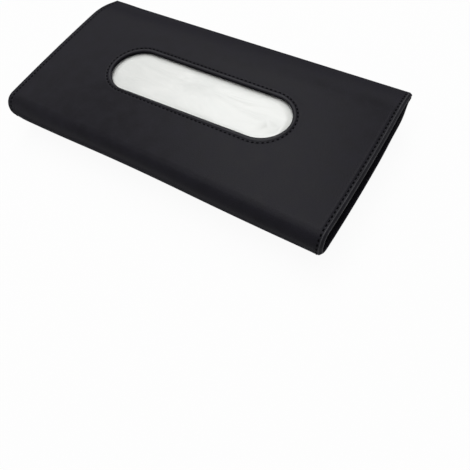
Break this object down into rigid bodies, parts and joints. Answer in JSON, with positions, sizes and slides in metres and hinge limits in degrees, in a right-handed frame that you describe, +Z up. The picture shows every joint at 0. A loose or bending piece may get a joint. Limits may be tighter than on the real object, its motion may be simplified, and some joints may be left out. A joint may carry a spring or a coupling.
{
  "type": "car tissue holder",
  "caption": "Slim folding imitation leather case with a round-ended dispensing opening, a tissue refill inside and straps that clip it to a sun visor.",
  "frame": {"origin": "middle of the underside, on the surface that the closed case stands on with its visor straps", "axes": "+X along the long side, +Y from the rounded folded edge to the magnet edge, +Z up, out of the side with the dispensing opening"},
  "size_m": [0.23, 0.1216, 0.0296],
  "materials": {
    "leather": "satin",
    "lining_cloth": "matte",
    "stiff_board": "matte",
    "magnet_metal": "satin",
    "black_thread": "satin",
    "hook_tape": "matte",
    "elastic": "matte",
    "white_film": "gloss",
    "tissue": "matte"
  },
  "bodies": {
    "case_back": {"back_skin": "leather", "back_board": "stiff_board", "back_lining": "lining_cloth", "left_back_magnet": "magnet_metal", "right_back_magnet": "magnet_metal", "left_back_thread": "black_thread", "right_back_thread": "black_thread", "left_band": "elastic", "right_band": "elastic", "left_strap_tab": "leather", "right_strap_tab": "leather", "left_tab_thread": "black_thread", "right_tab_thread": "black_thread", "left_loop_patch": "hook_tape", "right_loop_patch": "hook_tape"},
    "fold": {"roll_skin": "leather", "roll_lining": "lining_cloth", "left_roll_thread": "black_thread", "right_roll_thread": "black_thread"},
    "cover": {"front_skin": "leather", "front_board": "stiff_board", "front_lining": "lining_cloth", "opening_rim": "leather", "opening_thread": "black_thread", "left_front_thread": "black_thread", "right_front_thread": "black_thread", "left_front_magnet": "magnet_metal", "right_front_magnet": "magnet_metal"},
    "left_visor_strap": {"left_strap": "leather", "left_hook_patch": "hook_tape"},
    "right_visor_strap": {"right_strap": "leather", "right_hook_patch": "hook_tape"},
    "refill": {"refill_wrap": "white_film", "tissue_stack": "tissue"}
  },
  "joints": [
    {"name": "roll_fold", "type": "hinge", "parent": "case_back", "child": "fold", "pos_m": [0, -0.051, 0.01], "axis": [1, 0, 0], "range_deg": [0, 90]},
    {"name": "cover_fold", "type": "hinge", "parent": "fold", "child": "cover", "pos_m": [0, -0.051, 0.029], "axis": [1, 0, 0], "range_deg": [0, 90]},
    {"name": "left_strap_fold", "type": "hinge", "parent": "case_back", "child": "left_visor_strap", "pos_m": [-0.066, -0.0458, 0.0007], "axis": [-1, 0, 0], "range_deg": [0, 100]},
    {"name": "right_strap_fold", "type": "hinge", "parent": "case_back", "child": "right_visor_strap", "pos_m": [0.066, -0.0458, 0.0007], "axis": [-1, 0, 0], "range_deg": [0, 100]},
    {"name": "refill_slide", "type": "slide", "parent": "case_back", "child": "refill", "axis": [1, 0, 0], "range_m": [0, 0.2]}
  ],
  "couplings": [
    {"joint": "cover_fold", "follows": "roll_fold", "ratio": 1}
  ]
}
